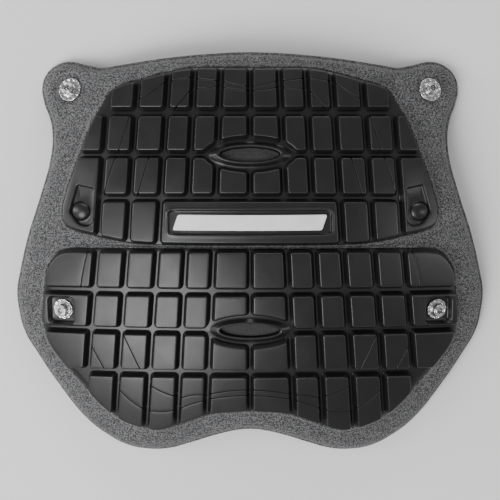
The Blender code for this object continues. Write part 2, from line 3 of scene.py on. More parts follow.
import bpy
import numpy as np
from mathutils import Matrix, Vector


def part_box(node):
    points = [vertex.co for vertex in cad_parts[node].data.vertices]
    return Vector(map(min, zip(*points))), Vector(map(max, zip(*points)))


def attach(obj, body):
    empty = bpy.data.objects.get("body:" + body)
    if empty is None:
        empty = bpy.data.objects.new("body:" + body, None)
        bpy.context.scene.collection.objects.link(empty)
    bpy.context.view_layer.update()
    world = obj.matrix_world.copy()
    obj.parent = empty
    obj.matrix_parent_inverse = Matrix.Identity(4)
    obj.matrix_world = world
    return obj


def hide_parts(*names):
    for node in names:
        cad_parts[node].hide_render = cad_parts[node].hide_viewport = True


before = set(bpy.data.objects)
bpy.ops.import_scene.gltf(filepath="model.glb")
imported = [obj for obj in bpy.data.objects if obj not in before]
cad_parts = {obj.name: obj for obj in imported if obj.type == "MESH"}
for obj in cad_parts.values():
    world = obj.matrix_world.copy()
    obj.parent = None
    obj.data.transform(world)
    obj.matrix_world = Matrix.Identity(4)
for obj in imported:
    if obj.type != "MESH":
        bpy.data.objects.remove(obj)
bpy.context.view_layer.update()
print("stage: frame loaded")

mm = 0.001

dome = {
    "radiusAcross": 330.0,  # bend from side to side
    "radiusAlong": 310.0,  # bend from neck to belly
    "apexY": 13.0,
    "shiftY": 0.99,  # the flat drawing's middle, seen from the frame's origin
}
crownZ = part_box("foam_pad")[1].z / mm  # height of the pad's face at the dome's apex

levels = {
    "underside": 0.3,  # of the plates
    "floor": 1.8,  # of the grooves
    "blockTop": 6.3,
}


# A flat point goes to z = crown - x^2 / 2A - (y - apex)^2 / 2B, then n outwards along the unit normal.
def layOnDome(x, y, n):
    x, y, n = np.broadcast_arrays(x, y, n)
    slopeX = x / dome["radiusAcross"]
    slopeY = (y - dome["apexY"]) / dome["radiusAlong"]
    drop = (x * slopeX + (y - dome["apexY"]) * slopeY) / 2
    size = np.sqrt(slopeX**2 + slopeY**2 + 1)
    place = [x + n * slopeX / size, y + n * slopeY / size + dome["shiftY"], crownZ - drop + n / size]
    return np.stack(place, axis=-1) * mm


# Corner numbers of the quads between neighbouring rows and columns of a grid.
def gridQuads(rows, columns, closeRows, closeColumns):
    index = np.arange(rows * columns).reshape(rows, columns)
    if closeRows:
        index = np.concatenate([index, index[:1]])
    if closeColumns:
        index = np.concatenate([index, index[:, :1]], axis=1)
    corners = [index[:-1, :-1], index[1:, :-1], index[1:, 1:], index[:-1, 1:]]
    return np.stack(corners, axis=-1).reshape(-1, 4)


# A patch is a closed grid of points. Its capped ends get one point at their mean, and its faces are turned
# outwards by the sign of its volume, the sum of a . (b x c) / 6.
def patchFaces(patch):
    grid = patch["points"]
    rows, columns = grid.shape[:2]
    points = grid.reshape(-1, 3)
    quads = gridQuads(rows, columns, patch.get("closeRows", False), True)
    triangles = np.zeros((0, 3), int)
    if not patch.get("closeRows", False):
        ring = np.arange(columns)
        ahead = np.roll(ring, -1)
        ends = np.stack([grid[0].mean(axis=0), grid[-1].mean(axis=0)])
        first, last = len(points), len(points) + 1
        offset = (rows - 1) * columns
        points = np.concatenate([points, ends])
        startFan = np.stack([ring, ahead, np.full(columns, first)], axis=1)
        endFan = np.stack([offset + ahead, offset + ring, np.full(columns, last)], axis=1)
        triangles = np.concatenate([startFan, endFan])
    halves = np.concatenate([quads[:, [0, 1, 2]], quads[:, [0, 2, 3]], triangles])
    a, b, c = (points[halves[:, corner]] - points.mean(axis=0) for corner in range(3))
    if (a * np.cross(b, c)).sum() < 0:
        quads, triangles = quads[:, ::-1], triangles[:, ::-1]
    wearAndHighlight = np.repeat(patch.get("wearAndHighlight", np.zeros(rows)), columns)
    wearAndHighlight = np.concatenate([wearAndHighlight, np.zeros(len(points) - len(wearAndHighlight))])
    return points, quads, triangles, wearAndHighlight


# Joins patches into one piece of the object, with its material, its body and what it stands for.
def addPiece(name, patches, material, replaced):
    points, faces, wearAndHighlight, start = [], [], [], 0
    for patch in patches:
        patchPoints, quads, triangles, patchWearAndHighlight = patchFaces(patch)
        points.append(patchPoints)
        wearAndHighlight.append(patchWearAndHighlight)
        faces += (quads + start).tolist() + (triangles + start).tolist()
        start += len(patchPoints)
    mesh = bpy.data.meshes.new(name)
    mesh.from_pydata(np.concatenate(points), [], faces)
    # Per-point amount of edge wear and painted rim highlight, read by the materials.
    mesh.attributes.new("edgeWearAndHighlight", "FLOAT", "POINT").data.foreach_set("value", np.concatenate(wearAndHighlight))
    mesh.shade_smooth()
    mesh.materials.append(material)
    piece = bpy.data.objects.new(name, mesh)
    bpy.context.scene.collection.objects.link(piece)
    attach(piece, "root")
    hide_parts(*replaced)
    print("piece:", name, len(faces), "faces")
    return piece


# Half of each outline as x and y, from the middle at the neck round to the middle at the belly
outlines = {
    "pad": [
        (0, 130.6), (27, 129.5), (58, 126.4), (84, 122.4), (95.2, 120.8), (105, 122.4), (117.6, 124.6),
        (127, 121.6), (133.2, 115.5), (135.3, 107.8), (133.6, 98), (129.3, 87), (127.7, 77), (129, 62),
        (135, 41), (144.9, 11.6), (151.3, -13), (153.5, -24), (152.9, -37), (149.5, -52.5), (141, -67.5),
        (127.4, -88.7), (109, -113), (96, -123.6), (82, -130.9), (69, -133), (55, -132), (39, -126.7),
        (22.8, -120.7), (8, -116.7), (0, -116),
    ],
    "upper": [
        (0, 118), (20, 118.2), (36, 117.9), (50, 115.5), (67.7, 110.8), (80, 107.2), (86.5, 103.2),
        (91.7, 95.1), (99.3, 81.5), (105.7, 64.6), (110.8, 51.5), (114.5, 40.5), (116.7, 31), (116.2, 24),
        (113.5, 20), (108.5, 17.8), (99.7, 15.9), (85.5, 12.9), (70.4, 10.8), (56, 10.3), (28, 10.2), (0, 10.3),
    ],
    "lower": [
        (0, 8.3), (57, 7.8), (100, 6.6), (111, 6.2), (118.2, 4.3), (123.6, -0.8), (127.6, -7.8), (129.1, -17),
        (130.9, -28), (131.8, -38.9), (130.4, -46.4), (128.1, -54.7), (119.5, -67.5), (105.1, -84.9),
        (95.1, -96.1), (85.5, -104), (74.6, -109), (65.2, -111.4), (57.5, -111.8), (49.6, -109.5),
        (37.2, -104.4), (24.9, -99.8), (11.7, -97.9), (0, -97.4),
    ],
}
handleShare = 2.5614  # a knot's handle is its chord over this
pairsAtOnce = 3000000  # pairs of a point and a side that are measured at a time


# Points at even steps of arc length round a closed loop.
def evenLoop(points, count):
    closed = np.concatenate([points, points[:1]])
    along = np.concatenate([[0], np.cumsum(np.linalg.norm(np.diff(closed, axis=0), axis=1))])
    wanted = np.arange(count) / count * along[-1]
    return np.stack([np.interp(wanted, along, closed[:, axis]) for axis in (0, 1)], axis=1)


# A smooth loop through half an outline's knots and their mirror image: cubic Bezier spans whose handles
# lie along the mean of the unit chords on both sides.
def smoothLoop(half, count, steps=16):
    half = np.array(half, float)
    knots = np.concatenate([half, half[-2:0:-1] * (-1, 1)])[::-1]
    ahead = np.roll(knots, -1, axis=0)
    chord = np.linalg.norm(ahead - knots, axis=1)[:, None]
    unit = (ahead - knots) / chord
    tangent = unit + np.roll(unit, 1, axis=0)
    tangent /= np.linalg.norm(tangent, axis=1)[:, None]
    leave = knots + tangent * chord / handleShare
    arrive = ahead - np.roll(tangent, -1, axis=0) * chord / handleShare
    t = (np.arange(steps) / steps)[None, :, None]
    spans = (1 - t) ** 3 * knots[:, None] + 3 * (1 - t) ** 2 * t * leave[:, None]
    spans = spans + 3 * (1 - t) * t**2 * arrive[:, None] + t**3 * ahead[:, None]
    return evenLoop(spans.reshape(-1, 2), count)


# Moves each point of a loop inwards along the normal of its two neighbours' chord.
def insetLoop(loop, inset):
    tangent = np.roll(loop, -1, axis=0) - np.roll(loop, 1, axis=0)
    tangent /= np.linalg.norm(tangent, axis=1)[:, None]
    return loop - inset * np.stack([tangent[:, 1], -tangent[:, 0]], axis=1)


# Start points and steps of a loop's sides, all of them or those near a place.
def loopSides(loop, centre=None, near=50.0):
    ahead = np.roll(loop, -1, axis=0) - loop
    if centre is None:
        return loop, ahead
    kept = np.linalg.norm(loop - np.array(centre), axis=1) < near
    return loop[kept], ahead[kept]


# Signed distance to the sides of a loop, negative inside: the nearest side's distance, with the sign of
# the cross product of that side and the way to the point.
def sideDistance(sides, x, y):
    starts, ahead = sides
    points = np.stack([np.ravel(x), np.ravel(y)], axis=1)
    squares = (ahead**2).sum(axis=1)
    result = np.empty(len(points))
    blocks = max(1, len(points) * len(starts) // pairsAtOnce)
    for part in np.array_split(np.arange(len(points)), blocks):
        awayX = points[part, :1] - starts[:, 0]
        awayY = points[part, 1:] - starts[:, 1]
        share = np.clip((awayX * ahead[:, 0] + awayY * ahead[:, 1]) / squares, 0, 1)
        square = (awayX - share * ahead[:, 0]) ** 2 + (awayY - share * ahead[:, 1]) ** 2
        nearest = square.argmin(axis=1)
        row = np.arange(len(part))
        turn = ahead[nearest, 0] * awayY[row, nearest] - ahead[nearest, 1] * awayX[row, nearest]
        result[part] = np.sqrt(square[row, nearest]) * np.where(turn > 0, -1, 1)
    return result.reshape(np.shape(x))


padLoop = smoothLoop(outlines["pad"], 800)
plateLoops = {"upper": smoothLoop(outlines["upper"], 420), "lower": smoothLoop(outlines["lower"], 460)}

# Blocks between the grooves
grooves = {
    "columns": [  # x at the seam, lean above it, lean below it
        (21.9, 0.040, 0.049), (38.75, 0.049, 0.064), (56.0, 0.064, 0.086), (74.86, 0.067, 0.097),
        (93.45, 0.075, 0.112),
    ],
    "rows": {  # y at the middle, drop at the outermost column, width at the block tops
        "upper": [(90.55, 0.4, 5.9), (65.39, 0.8, 5.1), (39.47, 1.3, 5.4)],
        "lower": [(-17.88, 1.1, 5.8), (-42.74, 1.1, 5.3), (-70.13, 1.7, 5.5)],
    },
    "columnWidth": 5.1,
    "centreWidth": 4.7,
    "seamY": 9.25,
    "borderInset": 2.1,  # from a plate's outline to its block tops
    "corner": 1.2,
    "pointsRound": 88,
}
blockProfile = [  # outwards from the top's edge, height over the groove's floor, edge wear and painted highlight
    (2.1, -0.5, 0), (2.05, 0.05, 0), (1.75, 0.32, 0), (1.45, 0.9, 0), (0.22, 3.9, 0), (0.1, 4.2, 0.5),
    (-0.1, 4.4, 1), (-0.38, 4.5, 0.7), (-0.8, 4.52, 0),
]
creaseLook = {"width": 0.32, "steepness": 2.6}  # a crease's wall is this many times steeper than a groove's
creases = {  # two ends of each thin line engraved across a block, and how far its middle bows to the left
    "upper 0 B": [(66.3, 98.5, 52.3, 107.5, 0.7)],
    "upper 0 C": [(46.8, 109.0, 36.5, 110.8, 0.0), (44.3, 93.5, 37.7, 101.3, 0.0)],
    "upper 0 D": [(32.0, 110.5, 20.2, 109.0, 0.3), (31.9, 104.2, 20.2, 105.4, 0.3)],
    "upper 0 E": [(15.4, 108.4, 1.6, 105.7, 0.4), (15.4, 104.8, 1.6, 103.1, 0.3)],
    "upper 1 A": [(72.9, 87.4, 79.5, 67.1, 0.0)],
    "upper 2 A": [(81.7, 62.3, 87.8, 43.0, 0.3)],
    "upper 2 B": [(61.1, 62.5, 67.5, 41.5, 0.0)],
    "lower 0 S": [(99.0, 5.7, 104.0, -16.7, 0.4)],
    "lower 2 A": [(98.7, -54.0, 90.9, -69.1, 0.0)],
    "lower 2 B": [(76.9, -48.3, 68.1, -68.2, 0.0)],
    "lower 3 B": [(80.7, -83.7, 67.1, -95.1, 0.9)],
    "lower 3 C": [(60.3, -79.9, 46.9, -85.5, 0.6), (61.7, -96.5, 47.2, -95.2, 0.8)],
    "lower 3 D": [(41.9, -86.4, 28.8, -84.3, -0.8), (42.1, -93.3, 28.9, -88.4, -0.5)],
    "lower 3 E": [(23.2, -83.2, 2.8, -80.6, -0.5), (23.3, -86.6, 4.1, -84.4, -0.5)],
}
columnNames = "EDCBAS"


def columnX(number, y):
    x, leanUp, leanDown = grooves["columns"][number]
    return x - np.where(y > grooves["seamY"], leanUp, leanDown) * (y - grooves["seamY"])


# Sides of a cell: each gives how far a point lies beyond it, negative inside.
def rightOfColumn(number):
    if number < 0:
        return lambda x, y: grooves["centreWidth"] / 2 - x
    return lambda x, y: columnX(number, y) + grooves["columnWidth"] / 2 - x


def leftOfColumn(number):
    return lambda x, y: x - columnX(number, y) + grooves["columnWidth"] / 2


def mirrored(side):
    return lambda x, y: side(-x, y)


def rowEdge(plate, number, upwards):
    middle, drop, width = grooves["rows"][plate][number]
    reach = grooves["columns"][-1][0]

    def beyond(x, y):
        line = middle - drop * (x / reach) ** 2
        return width / 2 + (line - y if upwards else y - line)

    return beyond


def borderSide(plate, centre):
    sides = loopSides(plateLoops[plate], centre)
    return lambda x, y: sideDistance(sides, x, y) + grooves["borderInset"]


# First-order distance to an ellipse with half axes a and b.
# With q = |(x/a, y/b)|, it is (q - 1) q / |(x/a^2, y/b^2)|.
def ellipseDistance(centre, halfAxes):
    a, b = halfAxes

    def distance(x, y):
        across, along = x - centre[0], y - centre[1]
        q = np.hypot(across / a, along / b) + 1e-9
        return (q - 1) * q / (np.hypot(across / a**2, along / b**2) + 1e-9)

    return distance


def outsideOf(distance):
    return lambda x, y: -distance(x, y)


# A bowed line from one end to the other. Its sides are scaled up, so that a ring's step moves them less.
def creaseSide(crease, leftwards):
    x1, y1, x2, y2, bow = crease
    length = math.hypot(x2 - x1, y2 - y1)
    unitX, unitY = (x2 - x1) / length, (y2 - y1) / length

    def beyond(x, y):
        along = ((x - x1) * unitX + (y - y1) * unitY) / length
        across = (y - y1) * unitX - (x - x1) * unitY - bow * 4 * along * (1 - along)
        return creaseLook["steepness"] * (creaseLook["width"] / 2 + (-across if leftwards else across))

    return beyond


# A cell's field is the rounded distance beyond its sides.
# With u = max(side + r, 0), it is min(largest side, -r) + |u|.
def cellField(sides, corner):
    def field(x, y):
        beyond = np.stack([side(x, y) for side in sides])
        rounded = np.maximum(beyond + corner, 0)
        return np.minimum(beyond.max(axis=0), -corner) + np.sqrt((rounded**2).sum(axis=0))

    return field


sampling = {
    "spacing": 1.2,  # of the points that find a cell's middle
    "margin": 0.3,  # how far inside the cell they lie
    "corner": 0.5,  # of the cell that they are tested against
    "longestRay": 75.0,
    "halvings": 22,  # of a ray's reach
    "rayCount": 1441,
    "turnShare": 0.45,  # of a ring's points that follow its turning, not its length
}


# The mean of the sample points that a field holds inside.
def cellCentre(field, low, high):
    step = sampling["spacing"]
    x, y = np.meshgrid(np.arange(low[0], high[0], step), np.arange(low[1], high[1], step))
    inside = field(x, y) < -sampling["margin"]
    return (x[inside].mean(), y[inside].mean())


# How far from a centre each ray reaches before its field passes a value, found by halving.
def rayReach(field, centre, angles, value):
    cosine, sine = np.cos(angles), np.sin(angles)
    near, far = np.zeros(len(angles)), np.full(len(angles), sampling["longestRay"])
    for _ in range(sampling["halvings"]):
        middle = (near + far) / 2
        beyond = field(centre[0] + middle * cosine, centre[1] + middle * sine) > value
        near, far = np.where(beyond, near, middle), np.where(beyond, middle, far)
    return near


# Ray angles that share out a ring's arc length and its turning, so that corners get more points.
def spreadAngles(field, centre, count):
    turnShare = sampling["turnShare"]
    angles = np.linspace(0, 2 * math.pi, sampling["rayCount"])
    reach = rayReach(field, centre, angles, 0.0)
    stepX, stepY = np.diff(reach * np.cos(angles)), np.diff(reach * np.sin(angles))
    heading = np.unwrap(np.arctan2(stepY, stepX))
    turn = np.abs(np.diff(heading, append=heading[0] + 2 * math.pi))
    length = np.hypot(stepX, stepY)
    weight = (1 - turnShare) * length / length.sum() + turnShare * turn / turn.sum()
    total = np.concatenate([[0], np.cumsum(weight)])
    return np.interp(np.arange(count) / count * total[-1], total, angles)


# Rings of a cell about a centre: one where its field reaches each value, at that value's level.
def cellRings(field, centre, angles, rows):
    rings = []
    for value, level, _ in rows:
        reach = rayReach(field, centre, angles, value)
        x, y = centre[0] + reach * np.cos(angles), centre[1] + reach * np.sin(angles)
        rings.append([x, y, np.full(len(angles), level)])
    return rings


# Rings that shrink from a ring towards the centre, at its level.
def shrinkRings(ring, centre, shares):
    x, y, n = ring
    return [[centre[0] + (x - centre[0]) * share, centre[1] + (y - centre[1]) * share, n] for share in shares]


def ringPatch(rings, wearAndHighlight, mirror=1):
    x, y, n = np.array(rings).transpose(1, 0, 2)
    return {"points": layOnDome(mirror * x, y, n), "wearAndHighlight": np.array(wearAndHighlight, float)}


# A block: its foot below the floor, up the wall, over the bevel and in to the middle of its top.
def blockPatches(field, centre, sides=(1, -1), count=None, shares=(0.7, 0.4, 0.15), inner=None):
    angles = spreadAngles(field, centre, count or grooves["pointsRound"])
    rows = [(value, levels["floor"] + height, wearAndHighlight) for value, height, wearAndHighlight in blockProfile]
    rings = cellRings(field, centre, angles, rows)
    wearAndHighlight = [row[2] for row in rows]
    if inner:
        for innerField, innerRows in inner:
            rings += cellRings(innerField, centre, angles, innerRows)
            wearAndHighlight += [row[2] for row in innerRows]
    rings += shrinkRings(rings[-1], centre, shares)
    wearAndHighlight += [0] * len(shares)
    return [ringPatch(rings, wearAndHighlight, side) for side in sides]


vents = {
    "places": {"upper": (0.0, 65.39), "lower": (0.0, -42.74)},
    "pocket": (28.3, 11.2),  # half axes where the block tops end
    "foot": (25.4, 7.4),
    "crest": (20.0, 5.5),
    "hole": (18.3, 4.45),
    "crestHeight": 2.6,
    "pitch": 0.8,  # of the weave
    "wire": 0.17,
    "weaveLevel": 0.85,
    "weaveWave": 0.12,  # height of a wire's waves
    "weaveGap": 0.3,  # between the weave and the hole's wall
}


# All sides of a cell in one plate. The band is the number of rows above it, the column counts from the middle.
def gridSides(plate, band, column, bandEnd=None):
    bandEnd = band if bandEnd is None else bandEnd
    sides = [rightOfColumn(column - 1)]
    if column < len(grooves["columns"]):
        sides.append(leftOfColumn(column))
    if band > 0:
        sides.append(rowEdge(plate, band - 1, False))
    if bandEnd < 3:
        sides.append(rowEdge(plate, bandEnd, True))
    if column < 2 and band in (1, 2):
        sides.append(outsideOf(ellipseDistance(vents["places"][plate], vents["pocket"])))
    return sides


# The parts of a block that its creases divide it into, each left of the one before and right of the next.
def creaseParts(key):
    lines = creases.get(key, [])
    parts = []
    for number in range(len(lines) + 1):
        part = [creaseSide(lines[number - 1], True)] if number > 0 else []
        if number < len(lines):
            part.append(creaseSide(lines[number], False))
        parts.append(part)
    return parts


def gridBlock(plate, band, column):
    patches = []
    loop = plateLoops[plate]
    low, high = (0, loop[:, 1].min()), (loop[:, 0].max(), loop[:, 1].max())
    for part in creaseParts(f"{plate} {band} {columnNames[column]}"):
        sides = gridSides(plate, band, column) + part
        whole = cellField(sides + [borderSide(plate, None)], sampling["corner"])
        centre = cellCentre(whole, low, high)
        field = cellField(sides + [borderSide(plate, centre)], grooves["corner"])
        patches += blockPatches(field, centre)
    return patches


panel = {
    "centre": (0.0, 24.4),
    "recess": (99.0, 15.4),
    "recessCorner": 2.6,
    "lip": [  # outwards from the recess's edge, height over the block tops, edge wear and painted highlight
        (1.7, 0.02, 0), (1.15, 0.08, 0.2), (0.75, 0.3, 0.6), (0.35, 0.4, 1), (0.0, 0.3, 0.6), (-0.25, -0.1, 0.2),
        (-0.45, -0.9, 0), (-0.75, -1.32, 0), (-1.3, -1.4, 0),
    ],
    "shares": np.linspace(0.9, 0.1, 9),
    "pointsRound": 260,
}


def boxField(centre, size, corner, slant=0.0):
    sides = [
        lambda x, y: x - slant * (y - centre[1]) - centre[0] - size[0] / 2,
        lambda x, y: centre[0] - size[0] / 2 - x + slant * (y - centre[1]),
        lambda x, y: y - centre[1] - size[1] / 2,
        lambda x, y: centre[1] - size[1] / 2 - y,
    ]
    return cellField(sides, corner)


# The raised panel, with its lip and recess.
def panelPatches():
    lean = leftOfColumn(2)
    sides = [rowEdge("upper", 2, False), lean, mirrored(lean), borderSide("upper", None)]
    field = cellField(sides, grooves["corner"])
    recess = boxField(panel["centre"], panel["recess"], panel["recessCorner"])
    rows = [(value, levels["blockTop"] + height, wearAndHighlight) for value, height, wearAndHighlight in panel["lip"]]
    return blockPatches(field, panel["centre"], (1,), panel["pointsRound"], panel["shares"], [(recess, rows)])


sidePocket = {
    "corners": [(105.8, 46.4), (94.6, 44.3), (95.5, 23.3), (98.7, 20.4), (105.3, 21.3), (111.0, 29.1)],
    "corner": 1.5,
    "depth": 2.3,
    "dome": (103.8, 29.9),
    "domeRadius": 5.8,
    "domeHeight": 3.1,
    "domeTurns": [8, 20, 33, 46, 60, 74, 84],  # degrees up the dome
    "domeFoot": [(0.5, 0.0), (0.12, 0.12)],  # outwards from the dome, height over the floor
    "rim": [(0.6, 0.02, 0), (0.15, -0.04, 0.6), (-0.15, -0.3, 0.3)],  # outwards, height over the top, edge wear and painted highlight
    "foot": [(-0.6, 0.5), (-0.85, 0.1), (-1.3, 0.0)],  # outwards, height over the floor
    "pointsRound": 120,
}


# Sides of a convex polygon: the distance beyond each of its edges.
def polygonSides(corners):
    def edge(start, end):
        goX, goY = end[0] - start[0], end[1] - start[1]
        length = math.hypot(goX, goY)
        return lambda x, y: ((x - start[0]) * goY - (y - start[1]) * goX) / length

    return [edge(start, end) for start, end in zip(corners, corners[1:] + corners[:1])]


# Rows of a pocket: its rim from the block's top, then the foot of its wall from its floor.
def pocketRows(pocket):
    top = levels["blockTop"]
    floor = top - pocket["depth"]
    rim = [(value, top + height, wearAndHighlight) for value, height, wearAndHighlight in pocket["rim"]]
    return rim + [(value, floor + height, 0) for value, height in pocket["foot"]]


# The tall outer block of the upper plate, with a pocket and a moulded dome of height h (1 - (r/R)^2)^0.5.
def domeBlock():
    centre = sidePocket["dome"]
    sides = gridSides("upper", 2, 5, 3) + [borderSide("upper", centre)]
    floor = levels["blockTop"] - sidePocket["depth"]
    pocket = cellField(polygonSides(sidePocket["corners"]), sidePocket["corner"])
    radius, height = sidePocket["domeRadius"], sidePocket["domeHeight"]
    ball = ellipseDistance(centre, (radius, radius))
    turns = np.radians(sidePocket["domeTurns"])
    domeRows = [(value, floor + above, 0) for value, above in sidePocket["domeFoot"]]
    domeRows += [(radius * (math.cos(turn) - 1), floor + height * math.sin(turn), 0) for turn in turns]
    inner = [(pocket, pocketRows(sidePocket)), (ball, domeRows)]
    field = cellField(sides, grooves["corner"])
    return blockPatches(field, centre, inner=inner, count=sidePocket["pointsRound"], shares=(0.5,))


studPocket = {
    "place": (117.4, -32.55),
    "size": (17.4, 17.8),
    "corner": 3.4,
    "depth": 4.3,
    "rim": [(0.5, 0.02, 0), (0.1, -0.05, 0.8), (-0.2, -0.35, 0.4)],  # outwards, height over the top, edge wear and painted highlight
    "foot": [(-0.9, 0.7), (-1.3, 0.15), (-2.0, 0.0)],  # outwards, height over the floor
    "pointsRound": 120,
}


# The outer block of the lower plate round a stud, with a rounded square pocket.
def studBlock():
    centre = studPocket["place"]
    sides = gridSides("lower", 1, 5) + [borderSide("lower", centre)]
    pocket = boxField(centre, studPocket["size"], studPocket["corner"])
    field = cellField(sides, grooves["corner"])
    inner = [(pocket, pocketRows(studPocket))]
    return blockPatches(field, centre, inner=inner, count=studPocket["pointsRound"], shares=(0.6, 0.3))


# A plate's base is one closed ring of a surface: up out of the vent's hole, over its crest, out along the
# groove floor to the border, down the rim and back underneath.
def basePatch(plate):
    loop = plateLoops[plate]
    centre = np.array(vents["places"][plate])
    angles = np.arctan2(loop[:, 1] - centre[1], loop[:, 0] - centre[0])

    def ellipse(halfAxes):
        reach = 1 / np.hypot(np.cos(angles) / halfAxes[0], np.sin(angles) / halfAxes[1])
        return centre + reach[:, None] * np.stack([np.cos(angles), np.sin(angles)], axis=1)

    hole, crest, foot = (ellipse(vents[name]) for name in ("hole", "crest", "foot"))
    floor, under, high = levels["floor"], levels["underside"], levels["floor"] + vents["crestHeight"]
    rim = insetLoop(loop, 0.35)
    rings = [(hole, under), (hole, high - 0.9), (hole * 0.75 + crest * 0.25, high - 0.3),
             (hole * 0.4 + crest * 0.6, high), (crest, high - 0.1), (crest * 0.85 + foot * 0.15, high - 0.5),
             (crest * 0.15 + foot * 0.85, floor + 0.35), (foot, floor + 0.08)]
    rings += [(foot + (rim - foot) * share, floor) for share in np.linspace(0.03, 1, 26)]
    rings += [(insetLoop(loop, 0.1), floor - 0.2), (loop, floor - 0.6), (loop, under + 0.15),
              (insetLoop(loop, 0.12), under)]
    rings += [(loop + (hole - loop) * share, under) for share in np.linspace(0.04, 0.96, 14)]
    x = np.array([ring[:, 0] for ring, _ in rings])
    y = np.array([ring[:, 1] for ring, _ in rings])
    n = np.array([[level] for _, level in rings])
    return {"points": layOnDome(x, y, n), "closeRows": True}


bareCells = {  # band and column of the cells that hold no plain block
    "upper": [(0, 5), (2, 5), (3, 0), (3, 1), (3, 2), (3, 5)],
    "lower": [(1, 5), (3, 5)],
}


def platePatches(plate):
    patches = [basePatch(plate)]
    for band in range(4):
        for column in range(6):
            if (band, column) not in bareCells[plate]:
                patches += gridBlock(plate, band, column)
    return patches + (panelPatches() + domeBlock() if plate == "upper" else studBlock())


# Foam pad
pad = {
    "middle": (0.0, 10.0),
    "edge": [  # inset from the outline, height
        (9.0, -8.0), (3.0, -8.0), (1.2, -7.95), (0.4, -7.7), (0.05, -7.25), (0.0, -6.8), (0.12, -6.35), (0.45, -6.08),
        (0.95, -6.0), (1.7, -5.95), (2.1, -5.75), (2.4, -5.2), (2.75, -4.4), (3.3, -3.3), (4.0, -2.3),
        (5.0, -1.4), (6.3, -0.7), (7.8, -0.28), (9.5, -0.06), (11.0, 0.0),
    ],
    "studs": (113.5, 105.0),
    "dishRadius": 12.5,
    "dishFloor": 7.8,  # radius of its flat middle
    "dishDepth": 1.15,
    "lip": [  # outwards from a plate's outline, height
        (0.25, -0.5), (0.3, 0.45), (0.55, 0.85), (1.0, 1.05), (1.5, 0.95), (2.1, 0.55), (2.7, 0.15),
        (3.2, -0.3),
    ],
    "lipFoot": -1.2,
    "lipLeast": 0.25,  # share of its width where the plates are close
}


def smoothStep(low, high, value):
    share = np.clip((value - low) / (high - low), 0, 1)
    return share * share * (3 - 2 * share)


# Height of the pad's face: a round dish under each ear stud, h = -depth (1 - s), s a smooth step of the radius.
def padRelief(x, y):
    away = np.hypot(np.abs(x) - pad["studs"][0], y - pad["studs"][1])
    return -pad["dishDepth"] * (1 - smoothStep(pad["dishFloor"], pad["dishRadius"], away))


# The pad: underside rings out to the edge, round the edge, and in over its face to the middle.
def padPatch():
    middle = np.array(pad["middle"])
    inner = insetLoop(padLoop, pad["edge"][-1][0])
    back = insetLoop(padLoop, pad["edge"][0][0])
    rings = [(middle + (back - middle) * share, pad["edge"][0][1]) for share in np.linspace(0.04, 0.97, 18)]
    rings += [(insetLoop(padLoop, inset), level) for inset, level in pad["edge"]]
    shares = np.concatenate([np.linspace(0.99, 0.6, 34), np.linspace(0.54, 0.04, 9)])
    rings += [(middle + (inner - middle) * share, 0.0) for share in shares]
    x = np.array([ring[:, 0] for ring, _ in rings])
    y = np.array([ring[:, 1] for ring, _ in rings])
    n = np.array([[level] for _, level in rings]) + np.zeros_like(x)
    face = n > -1
    n[face] += padRelief(x[face], y[face])
    return {"points": layOnDome(x, y, n)}


# The lip where the foam wells up beside a plate: a bead carried round the plate's outline, which narrows
# to half of the gap where the other plate is near.
def lipPatch(plate, other):
    loop = plateLoops[plate]
    gap = sideDistance(loopSides(plateLoops[other]), loop[:, 0], loop[:, 1])
    widest = pad["lip"][-1][0]
    scale = np.clip(gap / 2 / widest, pad["lipLeast"], 1)
    rows = pad["lip"] + [(pad["lip"][end][0], pad["lipFoot"]) for end in (-1, 0)]
    rings = [insetLoop(loop, -outwards * scale[:, None]) for outwards, _ in rows]
    x = np.array([ring[:, 0] for ring in rings])
    y = np.array([ring[:, 1] for ring in rings])
    n = np.array([[level] for _, level in rows]) + padRelief(x, y)
    return {"points": layOnDome(x, y, n), "closeRows": True}


# Studs, turned about the dome's normal
studs = {
    "places": {
        "upper": (113.5, 105.0, -0.7),  # x, y and the height of the flange's foot
        "lower": (117.4, -32.55, 2.1),
    },
    "flangeRadius": {"upper": 7.5, "lower": 6.7},
    "petals": 12,
    "petalDepth": 0.22,
    "profile": [  # radius, height, share of the petals; the flange's radii are scaled to each stud
        (7.5, 0.0, 0), (7.5, 0.4, 0), (7.36, 0.78, 0.2), (7.05, 0.98, 0.7), (6.7, 0.98, 1),
        (6.2, 0.86, 1), (5.75, 0.74, 0.6),
        (5.3, 0.72, 0.1), (4.7, 0.82, 0), (4.2, 0.98, 0), (3.8, 1.02, 0), (3.5, 1.2, 0), (3.42, 1.6, 0),
        (3.42, 2.7, 0), (3.55, 3.2, 0), (3.9, 3.65, 0), (4.05, 4.15, 0), (4.05, 4.6, 0), (3.9, 5.0, 0),
        (3.6, 5.28, 0), (3.25, 5.36, 0), (3.0, 5.25, 0), (2.86, 5.02, 0), (2.7, 5.02, 0), (2.55, 5.25, 0),
        (2.3, 5.38, 0), (2.02, 5.34, 0), (1.84, 5.15, 0), (1.78, 4.8, 0), (1.78, 1.2, 0), (1.3, 1.0, 0), (0.5, 0.98, 0),
    ],
    "flangeEnd": 4.2,  # radius where the scaled flange ends
    "pointsRound": 96,
}


